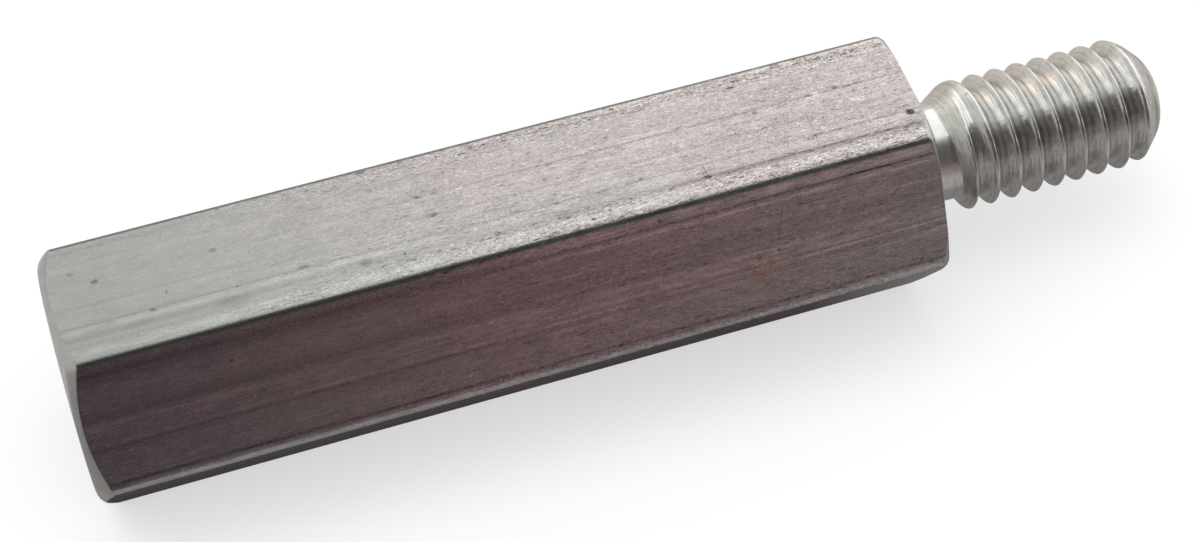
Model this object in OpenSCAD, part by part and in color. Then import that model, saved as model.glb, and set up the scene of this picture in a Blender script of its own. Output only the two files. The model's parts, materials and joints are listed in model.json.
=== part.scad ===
// Hex standoff with a tapped hole in one end and a threaded stud on the other.
// One piece, turned from drawn hex bar. The thread axis is X. The centre of the open end's face
// is the origin, the stud points to +X, and the bar lies on one of its flats.

/* [Hex bar] */
// Width across flats
across_flats = 7; // [6:0.5:10]
// Length of the hex body, from its open end to the shoulder
body_length = 25; // [16:1:60]
// Radius on the six edges of the drawn bar
edge_radius = 0.3; // [0.1:0.05:0.5]

/* [End chamfers] */
// Angle of both end chamfers, from the end face
chamfer_angle = 30; // [20:5:45]
// How far the open end's chamfer reaches along a sharp corner
open_chamfer = 0.5; // [0.2:0.05:0.6]
// How far the shoulder's chamfer reaches along a sharp corner
shoulder_chamfer = 0.25; // [0.1:0.05:0.6]

/* [Thread] */
// Nominal diameter of both threads
thread_d = 4; // [3:0.5:5]
// Pitch of both threads
pitch = 0.7; // [0.5:0.05:0.8]
// Amount by which the stud's crests are cut under the nominal diameter
crest_allowance = 0.1; // [0.05:0.05:0.2]

/* [Stud] */
// Length of the stud, from the shoulder to its tip
stud_length = 8; // [5:0.5:20]
// How much deeper the relief behind the thread is cut than the thread's root
relief_undercut = 0.07; // [0.01:0.01:0.3]
// Length of the relief's straight part
relief_length = 1.3; // [0.5:0.1:2]
// Length of the 45 degree lead-in at the tip
tip_chamfer = 0.8; // [0.3:0.1:1]

/* [Tapped hole] */
// Depth of the drilled hole, without its point
hole_depth = 11; // [6:0.5:13]
// Amount by which the countersink's mouth is wider than the nominal diameter
countersink_allowance = 0.2; // [0.1:0.05:0.8]
// Angle of the countersink
countersink_angle = 120; // [90:10:120]
// Angle of the drill's point
drill_point_angle = 118; // [90:2:140]

/* [Hidden] */

$fn = 96;
overlap = 1;                                   // how far cutters run past the metal
corner_r = across_flats / 2 / cos(30);         // sharp corner of the hexagon, from the axis
edge_centre_r = corner_r - edge_radius / cos(30);   // centre of an edge's radius, from the axis
edge_steps = 6;                                // straight steps in each edge's radius
crest_r = (thread_d - crest_allowance) / 2;
tap_drill_r = (thread_d - pitch) / 2;
// external V thread: 60 degrees between flanks, a flat of a quarter pitch at the root
flank_angle = 30;
root_flat = pitch / 4;
crest_flat = pitch / 8;
thread_depth = (pitch - root_flat - crest_flat) / 2 / tan(flank_angle);
root_r = crest_r - thread_depth;
relief_r = root_r - relief_undercut;
countersink_r = (thread_d + countersink_allowance) / 2;
thread_start = relief_length + crest_r - relief_r;       // where the relief's 45 degree cone ends
thread_end = stud_length - tip_chamfer;                  // where the tip's lead-in starts
last_groove = thread_end + (pitch - crest_flat) / 2;
grooves = floor((thread_end - relief_length) / pitch) + 1;

// turns a shape drawn about Z so that its axis is X
module along_x() {
    rotate([0, 90, 0]) children();
}

// outline of the bar: a hexagon whose corners are arcs, with a flat facing down once it lies along X
function bar_outline() = [
    for (corner = [0 : 5], step = [0 : edge_steps])
        let (middle = 60 * corner + 30, angle = middle - 30 + 60 * step / edge_steps)
            edge_centre_r * [cos(middle), sin(middle)] + edge_radius * [cos(angle), sin(angle)]
];

// radius of the flat face that a chamfer leaves on the end of the bar
function face_r(chamfer) = corner_r - chamfer / tan(chamfer_angle);

// the chamfers are turned, so each is a cone that meets the flats in arcs
module turned_envelope() {
    rotate_extrude()
        polygon([
            [0, 0],
            [face_r(open_chamfer), 0],
            [corner_r, open_chamfer],
            [corner_r, body_length - shoulder_chamfer],
            [face_r(shoulder_chamfer), body_length],
            [0, body_length]
        ]);
}

module hex_body() {
    intersection() {
        linear_extrude(height = body_length) polygon(bar_outline());
        turned_envelope();
    }
}

// stud before threading: relief, 45 degree cone, plain shank, 45 degree lead-in
module stud_blank() {
    rotate_extrude()
        polygon([
            [0, -overlap],
            [relief_r, -overlap],
            [relief_r, relief_length],
            [crest_r, thread_start],
            [crest_r, thread_end],
            [crest_r - tip_chamfer, stud_length],
            [0, stud_length]
        ]);
}

// one turn of the thread, as a ring-shaped groove with the thread's own section
module groove() {
    flare = overlap * tan(flank_angle);
    mouth = pitch / 2 - crest_flat / 2 + flare;
    rotate_extrude()
        polygon([
            [root_r, -root_flat / 2],
            [crest_r + overlap, -mouth],
            [crest_r + overlap, mouth],
            [root_r, root_flat / 2]
        ]);
}

module stud() {
    difference() {
        stud_blank();
        for (turn = [0 : grooves - 1])
            translate([0, 0, last_groove - pitch * turn]) groove();
    }
}

module tapped_hole() {
    point_depth = tap_drill_r / tan(drill_point_angle / 2);
    sink_slope = tan(countersink_angle / 2);
    sink_depth = (countersink_r - tap_drill_r) / sink_slope;
    rotate_extrude()
        polygon([
            [0, -overlap],
            [countersink_r + overlap * sink_slope, -overlap],
            [tap_drill_r, sink_depth],
            [tap_drill_r, hole_depth],
            [0, hole_depth + point_depth]
        ]);
}

module standoff() {
    color([0.68, 0.66, 0.65])
        along_x()
            difference() {
                union() {
                    hex_body();
                    translate([0, 0, body_length]) stud();
                }
                tapped_hole();
            }
}

standoff();
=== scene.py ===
"""Looks of a hex standoff: drawn hexagonal bar, turned at both ends, tapped at one, threaded at the other.

Everything is in metres, in the part's own frame: the thread axis is X, the open end's face is at
x = 0 and the stud points to +X. Angles around the bar start at +Y and turn towards +Z.
"""

import json
import math

import bmesh
import bpy
from mathutils import Matrix, Vector


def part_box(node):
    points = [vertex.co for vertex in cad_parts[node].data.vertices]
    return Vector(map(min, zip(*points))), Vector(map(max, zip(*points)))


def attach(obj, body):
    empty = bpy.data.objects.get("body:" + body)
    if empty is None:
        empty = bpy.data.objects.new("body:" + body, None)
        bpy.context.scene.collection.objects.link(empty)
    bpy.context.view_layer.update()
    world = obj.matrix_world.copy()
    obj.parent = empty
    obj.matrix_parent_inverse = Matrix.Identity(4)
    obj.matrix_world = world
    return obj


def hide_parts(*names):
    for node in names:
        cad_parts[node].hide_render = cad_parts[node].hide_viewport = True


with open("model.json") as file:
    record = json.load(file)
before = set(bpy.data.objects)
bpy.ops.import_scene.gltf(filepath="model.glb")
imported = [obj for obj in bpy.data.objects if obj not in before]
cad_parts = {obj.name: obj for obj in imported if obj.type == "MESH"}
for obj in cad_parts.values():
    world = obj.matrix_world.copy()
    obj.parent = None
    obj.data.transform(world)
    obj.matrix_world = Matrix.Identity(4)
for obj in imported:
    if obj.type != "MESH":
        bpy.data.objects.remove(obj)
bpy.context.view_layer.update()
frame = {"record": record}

MM = 0.001
WHOLE_TURN = 2 * math.pi
EDGES = 6
SIXTH = WHOLE_TURN / EDGES                               # from one edge of the hexagon to the next
TWELFTH = SIXTH / 2
MOUNTS = {mount["name"]: mount for mount in frame["record"]["mounts"]}

# ---------------------------------------------------------------- sizes, from the frame
BAR_LOW, BAR_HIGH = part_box("standoff")
TIP_X = BAR_HIGH.x
SHOULDER_X = MOUNTS["shoulder_face"]["pos_m"][0]
FLAT_R = BAR_HIGH.z                                      # half the width across flats
CREST_R = MOUNTS["stud"]["dims"]["r_mm"] * MM
TAP_DRILL_R = MOUNTS["tapped_hole"]["dims"]["r_mm"] * MM

# ---------------------------------------------------------------- sizes of the bar and its turned ends
EDGE_RADIUS = 0.3 * MM                                   # on the drawn bar's six edges
CORNER_R = FLAT_R / math.cos(TWELFTH)                    # a sharp corner's distance from the axis
CHAMFER_SLOPE = math.tan(TWELFTH)
OPEN_CHAMFER = 0.5 * MM                                  # along a sharp corner
SHOULDER_CHAMFER = 0.25 * MM
CHAMFER_BULGE = 0.12 * MM                                # how far a worn chamfer's middle stands out
BULGE_PLACES = (0.2, 0.5, 0.8)                           # where a chamfer's line gets points for its bulge
OPEN_FACE_R = CORNER_R - OPEN_CHAMFER / CHAMFER_SLOPE
SHOULDER_FACE_R = CORNER_R - SHOULDER_CHAMFER / CHAMFER_SLOPE
BROKEN_EDGE = 0.03 * MM                                  # radius left on a turned edge
BROKEN_SHARE = 1 / 4                                     # most of a side that this radius may take
BROKEN_GUARD = 2                                         # how many times its reach its guard points lie off

PITCH = 0.7 * MM
CREST_FLAT = PITCH / 8
ROOT_FLAT = PITCH / 4
FLANK_SLOPE = math.tan(TWELFTH)
THREAD_DEPTH = (PITCH - CREST_FLAT - ROOT_FLAT) / 2 / FLANK_SLOPE
ROOT_ROUNDING = 0.05 * MM
CREST_ROUNDING = 0.2 * MM

STUD_CREST_X = SHOULDER_X + 0.63 * MM                    # a crest's place at angle 0
RELIEF_R = 1.5 * MM
RELIEF_END_X = SHOULDER_X + 1.12 * MM                    # where the relief's cone starts soonest
CONE_TURN = 0.15                                         # the turn at which it starts soonest
CONE_SWEEP = 0.38 * MM                                   # how much later it starts half a turn on
CONE_RISE = 0.55
CONE_STEEPENING = 1.2                                    # how much steeper it is there
CONE_ROUNDING = 0.12 * MM
RUN_IN_X = RELIEF_END_X + 0.64 * MM                      # from here the stud's grooves deepen
RUN_IN = 0.24 * MM
RUN_OUT_X = TIP_X - 0.52 * MM                            # from here there is no groove
RUN_OUT = 0.3 * MM
LEAD_IN = 0.8 * MM                                       # along X, at 45 degrees
LEAD_IN_ROUNDING = 0.2 * MM
TIP_R = CREST_R - LEAD_IN
TIP_RIM = 0.24 * MM                                      # how far the tip's worn rim reaches each way

HOLE_DEPTH = 11 * MM
HOLE_THREAD_END = 9.8 * MM
HOLE_THREAD_DEPTH = 0.37 * MM
HOLE_CREST_X = PITCH / 3
HOLE_RUN_OUT = 0.9 * MM                                  # where the tap's lead fades the thread
SINK_R = 2.1 * MM
SINK_SLOPE = math.tan(math.radians(60))                  # half the countersink's angle
POINT_SLOPE = math.tan(math.radians(59))                 # half the drill's point angle

# ---------------------------------------------------------------- mesh steps
EDGE_STEPS = 6                                           # around each of the bar's edges
FLAT_STEPS = 14                                          # across each flat
BROKEN_STEPS = 3                                         # round a turned edge
RIM_STEPS = 6                                            # round the tip's rim
STUD_ROWS = 32                                           # along one pitch
HOLE_ROWS = 16
SPARE_PITCHES = 3                                        # past a thread's ends, folded into its last rings
MERGE = 1e-7


# ================================================================ node tools
MIX_SHARE, MIX_FIRST, MIX_SECOND, MIX_RESULT = 0, 6, 7, 2   # a Mix node's sockets for colours


def feed(tree, socket, value):
    """Links a number or a socket to the socket, and sets anything else on it."""
    value = value.value if isinstance(value, Number) else value
    if isinstance(value, bpy.types.NodeSocket):
        tree.links.new(value, socket)
    else:
        socket.default_value = value


def add_node(tree, kind, inputs=None, **settings):
    """A new node with its settings, and its inputs linked or set."""
    node = tree.nodes.new(kind)
    for name, value in settings.items():
        setattr(node, name, value)
    for name, value in (inputs or {}).items():
        feed(tree, node.inputs[name], value)
    return node


class Number:
    """A number in a node tree: arithmetic on it adds Math nodes."""

    def __init__(self, tree, value):
        self.tree = tree
        self.value = value

    def calculate(self, operation, *others):
        node = self.tree.nodes.new("ShaderNodeMath")
        node.operation = operation
        for socket, value in zip(node.inputs, (self, *others)):
            feed(self.tree, socket, value)
        return Number(self.tree, node.outputs[0])

    def __add__(self, other):
        return self.calculate("ADD", other)

    def __sub__(self, other):
        return self.calculate("SUBTRACT", other)

    def __rsub__(self, other):
        return Number(self.tree, other) - self

    def __mul__(self, other):
        return self.calculate("MULTIPLY", other)

    def __truediv__(self, other):
        return self.calculate("DIVIDE", other)

    def __rtruediv__(self, other):
        return Number(self.tree, other) / self

    def __abs__(self):
        return self.calculate("ABSOLUTE")

    def floor(self):
        return self.calculate("FLOOR")

    def root(self):
        return self.calculate("SQRT")

    def sine(self):
        return self.calculate("SINE")

    def cosine(self):
        return self.calculate("COSINE")

    def remainder(self, other):
        return self.calculate("FLOORED_MODULO", other)

    def at_least(self, other):
        return self.calculate("MAXIMUM", other)

    def at_most(self, other):
        return self.calculate("MINIMUM", other)

    def softly_at_least(self, other, rounding):
        return self.calculate("SMOOTH_MAX", other, rounding)

    def softly_at_most(self, other, rounding):
        return self.calculate("SMOOTH_MIN", other, rounding)

    def step_between(self, low, high):
        """0 up to low, 1 from high, and a smooth step between them."""
        found = add_node(
            self.tree,
            "ShaderNodeMapRange",
            {"Value": self, "From Min": low, "From Max": high},
            interpolation_type="SMOOTHSTEP",
        )
        return Number(self.tree, found.outputs["Result"])


def split(tree, vector):
    """The three numbers of a vector or a colour."""
    node = add_node(tree, "ShaderNodeSeparateXYZ", {0: vector})
    return [Number(tree, socket) for socket in node.outputs]


def join(tree, x, y, z):
    """A vector made of three numbers."""
    return add_node(tree, "ShaderNodeCombineXYZ", {"X": x, "Y": y, "Z": z}).outputs[0]


def scaled(tree, vector, factor):
    """A place or a colour times a factor."""
    node = add_node(tree, "ShaderNodeVectorMath", {0: vector, "Scale": factor}, operation="SCALE")
    return node.outputs[0]


def colour_ramp(tree, place, first, last, stops):
    """The colour at a place between the first and the last, read from a list of (place, colour)."""
    ramp = add_node(tree, "ShaderNodeValToRGB", {"Fac": (place - first) / (last - first)})
    elements = ramp.color_ramp.elements
    while len(elements) < len(stops):
        elements.new(1 / 2)
    for element, (at, colour) in zip(elements, stops):
        element.position = (at - first) / (last - first)
        element.color = (*colour, 1)
    return ramp.outputs[0]


def blend(tree, share, first, second):
    """The first colour where share is 0, the second where it is 1."""
    ends = [end if isinstance(end, bpy.types.NodeSocket) else (*end, 1) for end in (first, second)]
    inputs = {MIX_SHARE: share, MIX_FIRST: ends[0], MIX_SECOND: ends[1]}
    return add_node(tree, "ShaderNodeMix", inputs, data_type="RGBA").outputs[MIX_RESULT]


def add_socket(tree, name, kind, value=None, in_out="INPUT"):
    """A named input or output of the tree. Only an input of kind Float has a value."""
    socket = tree.interface.new_socket(name, in_out=in_out, socket_type="NodeSocket" + kind)
    if value is not None:
        socket.default_value = value


def end_group(tree, results):
    """Links the results to the tree's outputs."""
    out = tree.nodes.new("NodeGroupOutput")
    for name, value in results.items():
        feed(tree, out.inputs[name], value)
    return tree


# ================================================================ the bar's surface
def columns():
    """(angle, distance of the bar's surface from the axis) once around the bar."""
    found = []
    centre_r = CORNER_R - EDGE_RADIUS / math.cos(TWELFTH)
    for edge in range(EDGES):
        points = []
        for step in range(EDGE_STEPS + 1):
            angle = SIXTH * step / EDGE_STEPS - TWELFTH
            points.append(Vector((centre_r + EDGE_RADIUS * math.cos(angle), EDGE_RADIUS * math.sin(angle))))
        start = points[-1]
        end = Matrix.Rotation(SIXTH, 2) @ points[0]
        guard = BROKEN_EDGE / (end - start).length
        points.append(start.lerp(end, guard))
        for step in range(1, FLAT_STEPS):
            points.append(start.lerp(end, step / FLAT_STEPS))
        points.append(start.lerp(end, 1 - guard))
        found += [(SIXTH * edge + math.atan2(p.y, p.x), p.length) for p in points]
    return found


def curve(first, corner, last, steps):
    """Points on the curve that rounds off a corner between two points beside it."""
    shares = [step / steps for step in range(steps + 1)]
    return [first.lerp(corner, t).lerp(corner.lerp(last, t), t) for t in shares]


def rounded(corners):
    """The line through the corners with each inner one rounded off, and a guard point on each side."""
    points = [Vector(corner) for corner in corners]
    found = [points[0]]
    for before, corner, after in zip(points, points[1:], points[2:]):
        shortest = min((before - corner).length, (after - corner).length)
        reach = min(BROKEN_EDGE, shortest * BROKEN_SHARE)
        first = corner + (before - corner).normalized() * reach
        last = corner + (after - corner).normalized() * reach
        found.append(corner.lerp(first, BROKEN_GUARD))
        found += curve(first, corner, last, BROKEN_STEPS)
        found.append(corner.lerp(last, BROKEN_GUARD))
    return found + [points[-1]]


def barrelled(start, end, face_r):
    """Points along a chamfer, which stands out by its bulge where it is longest and by less elsewhere."""
    start, end = Vector(start), Vector(end)
    along = end - start
    longest = (CORNER_R - face_r) / math.cos(TWELFTH)
    out = Vector((-along.y, along.x)) / longest * CHAMFER_BULGE
    return [start.lerp(end, t) + out * 4 * t * (1 - t) for t in BULGE_PLACES]


def body_section(bar_r):
    """(x, radius) from the countersink's mouth out over the bar and down to the relief's end."""
    shoulder_r = min(SHOULDER_FACE_R, bar_r - BROKEN_EDGE)   # the chamfer misses the middle of a flat
    open_edge = (0, OPEN_FACE_R)
    flat_start = ((bar_r - OPEN_FACE_R) * CHAMFER_SLOPE, bar_r)
    flat_end = (SHOULDER_X - (bar_r - shoulder_r) * CHAMFER_SLOPE, bar_r)
    shoulder_edge = (SHOULDER_X, shoulder_r)
    return rounded([
        (0, SINK_R),
        open_edge,
        *barrelled(open_edge, flat_start, OPEN_FACE_R),
        flat_start,
        flat_end,
        *barrelled(flat_end, shoulder_edge, SHOULDER_FACE_R),
        shoulder_edge,
        (SHOULDER_X, RELIEF_R),
        (RELIEF_END_X, RELIEF_R),
    ])


def tip_section(_bar_r):
    """(x, radius) from the lead-in's end round the tip's rim to its middle."""
    before_rim = Vector((TIP_X - TIP_RIM, TIP_R + TIP_RIM))
    rim = Vector((TIP_X, TIP_R))
    past_rim = Vector((TIP_X, TIP_R - TIP_RIM))
    found = curve(before_rim, rim, past_rim, RIM_STEPS)
    return found + [Vector((TIP_X, TIP_R / 2)), Vector((TIP_X, 0))]


def drill_section(_bar_r):
    """(x, radius) from the middle of the drilled hole's point to the end of its thread."""
    return rounded([
        (HOLE_DEPTH + TAP_DRILL_R / POINT_SLOPE, 0),
        (HOLE_DEPTH, TAP_DRILL_R),
        (HOLE_THREAD_END, TAP_DRILL_R),
    ])


def turned_mesh(name, section_of, material):
    """A surface around X with one line of its section at each column."""
    lines = [
        [(p.x, p.y * math.cos(angle), p.y * math.sin(angle)) for p in section_of(bar_r)]
        for angle, bar_r in columns()
    ]
    rows = len(lines[0])
    faces = []
    for j in range(len(lines)):
        here = j * rows
        there = (j + 1) % len(lines) * rows
        faces += [(here + i, here + i + 1, there + i + 1, there + i) for i in range(rows - 1)]
    mesh = bpy.data.meshes.new(name)
    mesh.from_pydata([point for line in lines for point in line], [], faces)
    mesh.materials.append(material)
    return mesh


# ================================================================ threads
# Sizes of a thread, each with the value that it has where none is given. Side is 1 for a stud and -1
# for a hole.
THREAD_SIZES = {
    "Start": 0.0,
    "End": 1.0,
    "Pitch": PITCH,
    "Crest Place": 0.0,
    "Rows per Pitch": HOLE_ROWS,
    "Blank Radius": 1.0,
    "Depth": THREAD_DEPTH,
    "Crest Flat": CREST_FLAT,
    "Flank Slope": FLANK_SLOPE,
    "Root Rounding": ROOT_ROUNDING,
    "Crest Rounding": ROOT_ROUNDING,
    "Start Radius": 1.0,
    "Start Rise": 1.0,
    "Start Turn": 0.0,
    "Start Sweep": 0.0,
    "Start Steepening": 0.0,
    "Start Rounding": ROOT_ROUNDING,
    "End Radius": 1.0,
    "End Rise": 1.0,
    "End Rounding": ROOT_ROUNDING,
    "Run-in Place": 0.0,
    "Run-in": 1.0,
    "Run-out Place": 0.0,
    "Run-out": 1.0,
    "Side": 1.0,
}
STUD_SIZES = {
    "Start": RELIEF_END_X,
    "End": TIP_X - TIP_RIM,
    "Crest Place": STUD_CREST_X,
    "Rows per Pitch": STUD_ROWS,
    "Blank Radius": CREST_R,
    "Crest Rounding": CREST_ROUNDING,
    "Start Radius": RELIEF_R,
    "Start Rise": CONE_RISE,
    "Start Turn": CONE_TURN,
    "Start Sweep": CONE_SWEEP,
    "Start Steepening": CONE_STEEPENING,
    "Start Rounding": CONE_ROUNDING,
    "End Radius": TIP_R + TIP_RIM,
    "End Rounding": LEAD_IN_ROUNDING,
    "Run-in Place": RUN_IN_X,
    "Run-in": RUN_IN,
    "Run-out Place": RUN_OUT_X,
    "Run-out": RUN_OUT,
}
HOLE_SIZES = {
    "End": HOLE_THREAD_END,
    "Crest Place": HOLE_CREST_X,
    "Blank Radius": TAP_DRILL_R,
    "Depth": HOLE_THREAD_DEPTH,
    "Crest Flat": ROOT_FLAT,
    "Start Radius": SINK_R,
    "Start Rise": SINK_SLOPE,
    "End Radius": TAP_DRILL_R / 2,                       # out of the way, so that no cone cuts the end
    "End Rise": 0.0,
    "Run-in Place": -2 * PITCH,                          # before the mouth: the thread is whole there
    "Run-in": PITCH,
    "Run-out Place": HOLE_THREAD_END,
    "Run-out": HOLE_RUN_OUT,
    "Side": -1.0,
}


def thread_tree():
    """Cuts a helical thread on a ring of columns: its rows follow the helix and end on two plain rings."""
    tree = bpy.data.node_groups.new("cut thread", "GeometryNodeTree")
    add_socket(tree, "Columns", "Geometry")
    for name, value in THREAD_SIZES.items():
        add_socket(tree, name, "Float", value)
    add_socket(tree, "Material", "Material")
    add_socket(tree, "Thread", "Geometry", in_out="OUTPUT")
    given = tree.nodes.new("NodeGroupInput").outputs
    size = {name: Number(tree, given[name]) for name in THREAD_SIZES}
    pitch = size["Pitch"]

    counted = add_node(tree, "GeometryNodeAttributeDomainSize", {"Geometry": given["Columns"]})
    count = Number(tree, counted.outputs["Point Count"])
    pitches = ((size["End"] - size["Start"]) / pitch).calculate("CEIL") + SPARE_PITCHES
    grid = add_node(
        tree,
        "GeometryNodeMeshGrid",
        {"Vertices X": pitches * size["Rows per Pitch"] + 1, "Vertices Y": count + 1},
    )
    index = Number(tree, tree.nodes.new("GeometryNodeInputIndex").outputs[0])
    row = (index / (count + 1)).floor()
    column = index.remainder(count + 1)

    def at_column(kind, socket):
        node = add_node(
            tree,
            "GeometryNodeSampleIndex",
            {"Geometry": given["Columns"], "Value": socket, "Index": column.remainder(count)},
            data_type=kind,
        )
        return node.outputs[0]

    place = tree.nodes.new("GeometryNodeInputPosition").outputs[0]
    _, across, up = split(tree, at_column("FLOAT_VECTOR", place))
    own_turn = add_node(tree, "GeometryNodeInputNamedAttribute", {"Name": "turn"}, data_type="FLOAT")
    turn = Number(tree, at_column("FLOAT", own_turn.outputs[0])) + (column / count).floor()

    first_crest = ((size["Start"] - size["Crest Place"]) / pitch).floor() - 1
    crests = first_crest + row / size["Rows per Pitch"]
    x = (size["Crest Place"] + (crests + turn) * pitch).at_least(size["Start"]).at_most(size["End"])

    # the cut below the blank, which fades at both ends
    from_groove = abs(crests.remainder(1) - 0.5) * pitch
    mouth = (pitch - size["Crest Flat"]) / 2
    cut = (mouth - from_groove) / size["Flank Slope"]
    cut = cut.softly_at_most(size["Depth"], size["Root Rounding"])
    cut = cut.softly_at_least(0.0, size["Crest Rounding"])
    groove_x = size["Crest Place"] + (crests.floor() + turn + 0.5) * pitch
    cut = cut * ((groove_x - size["Run-in Place"]) / size["Run-in"]).at_least(0.0).at_most(1.0)
    cut = cut * ((size["Run-out Place"] - groove_x) / size["Run-out"]).at_least(0.0).at_most(1.0)

    # the cones at both ends, of which the first is swept around the thread
    side = size["Side"]
    swept = (1 - ((turn - size["Start Turn"]) * WHOLE_TURN).cosine()) / 2
    past_start = (x - size["Start"] - swept * size["Start Sweep"]).at_least(0.0)
    start_rise = size["Start Rise"] + swept * size["Start Steepening"]
    start_limit = side * size["Start Radius"] + past_start * start_rise
    end_limit = side * size["End Radius"] + (size["End"] - x) * size["End Rise"]
    height = side * size["Blank Radius"] - cut
    height = height.softly_at_most(start_limit, size["Start Rounding"])
    height = height.softly_at_most(end_limit, size["End Rounding"])
    radius = side * height

    point = join(tree, x, across * radius, up * radius)
    placed = add_node(
        tree,
        "GeometryNodeSetPosition",
        {"Geometry": grid.outputs["Mesh"], "Position": point},
    )
    angle = crests * WHOLE_TURN
    marked = add_node(
        tree,
        "GeometryNodeStoreNamedAttribute",
        {
            "Geometry": placed.outputs[0],
            "Name": "helix",
            "Value": join(tree, angle.cosine(), angle.sine(), 0.0),
        },
        data_type="FLOAT_VECTOR",
        domain="POINT",
    )
    merged = add_node(
        tree,
        "GeometryNodeMergeByDistance",
        {"Geometry": marked.outputs[0], "Distance": MERGE},
    )
    real = add_node(tree, "GeometryNodeRealizeInstances", {"Geometry": merged.outputs[0]})
    finished = add_node(
        tree,
        "GeometryNodeSetMaterial",
        {"Geometry": real.outputs[0], "Material": given["Material"]},
    )
    return end_group(tree, {"Thread": finished.outputs[0]})


def columns_mesh():
    """One point at each column, a metre from the axis, with its share of a whole turn."""
    mesh = bpy.data.meshes.new("columns")
    angles = [angle for angle, _ in columns()]
    mesh.from_pydata([(0, math.cos(a), math.sin(a)) for a in angles], [], [])
    turn = mesh.attributes.new("turn", "FLOAT", "POINT")
    turn.data.foreach_set("value", [a / WHOLE_TURN for a in angles])
    return mesh


def thread_mesh(name, tree, material, sizes):
    """The plain mesh that the tree cuts with these sizes."""
    blank = bpy.data.objects.new(name, columns_mesh())
    bpy.context.scene.collection.objects.link(blank)
    cutter = blank.modifiers.new(name, "NODES")
    cutter.node_group = tree
    inputs = {item.name: item.identifier for item in tree.interface.items_tree if item.in_out == "INPUT"}
    for size, value in {**THREAD_SIZES, **sizes}.items():
        cutter[inputs[size]] = float(value)
    cutter[inputs["Material"]] = material
    shown = blank.evaluated_get(bpy.context.evaluated_depsgraph_get())
    mesh = bpy.data.meshes.new_from_object(shown)
    bpy.data.objects.remove(blank)
    mesh.materials.clear()
    mesh.materials.append(material)
    return mesh


# ================================================================ shared effects
SEED_STEP = 17.3                                         # how far apart in a noise two seeds lie
NOISE_ROUGHNESS = 0.6
NOISE_GAIN = 4                                           # takes the noise's spread to about 1 each way
SMALLEST_PIT = 0.4                                       # as a share of the largest
PIT_SOFTNESS = 0.6                                       # share of a pit's radius that its rim takes
MARK_SOFTNESS = 0.9                                      # the same, of half a mark's width
MARK_TAPER = 0.15                                        # length of a mark's ends
SPOT_SOFTNESS = 0.5
SPOT_RAGGED = 0.5                                        # how much less ragged a spot is than a mark
FLAT_RIM = (0.985, 0.995)                                # share of a flat's distance where it begins


def start_group(name, inputs, output_names):
    """An empty shader node group and its inputs by name. A vector input has no default."""
    tree = bpy.data.node_groups.new(name, "ShaderNodeTree")
    for label, value in inputs.items():
        add_socket(tree, label, "Vector" if value is None else "Float", value)
    for label in output_names:
        add_socket(tree, label, "Float", in_out="OUTPUT")
    sockets = tree.nodes.new("NodeGroupInput").outputs
    given = {}
    for label, value in inputs.items():
        given[label] = sockets[label] if value is None else Number(tree, sockets[label])
    return tree, given


def use_group(tree, group, inputs):
    """Places the group and gives its outputs as numbers."""
    node = add_node(tree, "ShaderNodeGroup", inputs, node_tree=group)
    found = [Number(tree, socket) for socket in node.outputs]
    return found if len(found) > 1 else found[0]


def noise_group():
    """Smooth noise stretched to Length along X and Width across it, from about -1 to 1."""
    tree, given = start_group(
        "stretched noise",
        {"Place": None, "Length": 1.0, "Width": 1.0, "Seed": 0.0, "Detail": 1.0},
        ["Noise"],
    )
    x, y, z = split(tree, given["Place"])
    shift = given["Seed"] * SEED_STEP
    width = given["Width"]
    point = join(tree, x / given["Length"] + shift, y / width + shift, z / width)
    noise = add_node(
        tree,
        "ShaderNodeTexNoise",
        {"Vector": point, "Scale": 1, "Detail": given["Detail"], "Roughness": NOISE_ROUGHNESS},
    )
    return end_group(tree, {"Noise": (Number(tree, noise.outputs["Fac"]) - 0.5) * NOISE_GAIN})


def pits_group():
    """Round pits up to Size across, in a Share of the cells that lie about Spacing apart."""
    tree, given = start_group(
        "pits",
        {"Place": None, "Spacing": 1.0, "Size": 0.1, "Share": 0.5},
        ["Pits"],
    )
    spacing = given["Spacing"]
    point = scaled(tree, given["Place"], 1 / spacing)
    cells = add_node(tree, "ShaderNodeTexVoronoi", {"Vector": point, "Scale": 1})
    distance = Number(tree, cells.outputs["Distance"]) * spacing
    chance, size, _ = split(tree, cells.outputs["Color"])
    radius = given["Size"] / 2 * size.at_least(SMALLEST_PIT)
    inside = ((radius - distance) / radius).step_between(0.0, PIT_SOFTNESS)
    return end_group(tree, {"Pits": inside * given["Share"].calculate("GREATER_THAN", chance)})


# Inputs of the mark and spot groups: a place on a flat, how ragged an outline is there and the sum
# of the marks so far, then a mark's own sizes in the order in which its lists give them.
MARK_PLACE = {"Along": 0.0, "Across": 0.0, "Ragged": 0.0, "Sum": 0.0}
MARK_SIZES = {"Start": 0.0, "End": 1.0, "At": 0.0, "Slope": 0.0, "Width": 0.1, "Depth": 1.0}
SPOT_SIZES = {"Centre Along": 0.0, "Centre Across": 0.0, "Radius": 0.1, "Stretch": 1.0, "Depth": 1.0}
HAIRLINE_SIZES = ("At", "Start", "End", "Slope", "Width", "Depth")


def mark_group():
    """Adds one long mark of a Depth to Sum: from Start to End, lying At across, Slope off the line."""
    tree, given = start_group("mark", {**MARK_PLACE, **MARK_SIZES}, ["Sum"])
    along = given["Along"]
    centre = given["At"] + (along - given["Start"]) * given["Slope"]
    off = abs(given["Across"] - centre) / given["Width"] * 2
    inside = (given["Ragged"] + 1 - off).step_between(0.0, MARK_SOFTNESS)
    past_start = (along - given["Start"]).step_between(0.0, MARK_TAPER)
    before_end = (given["End"] - along).step_between(0.0, MARK_TAPER)
    return end_group(tree, {"Sum": inside * past_start * before_end * given["Depth"] + given["Sum"]})


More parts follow.
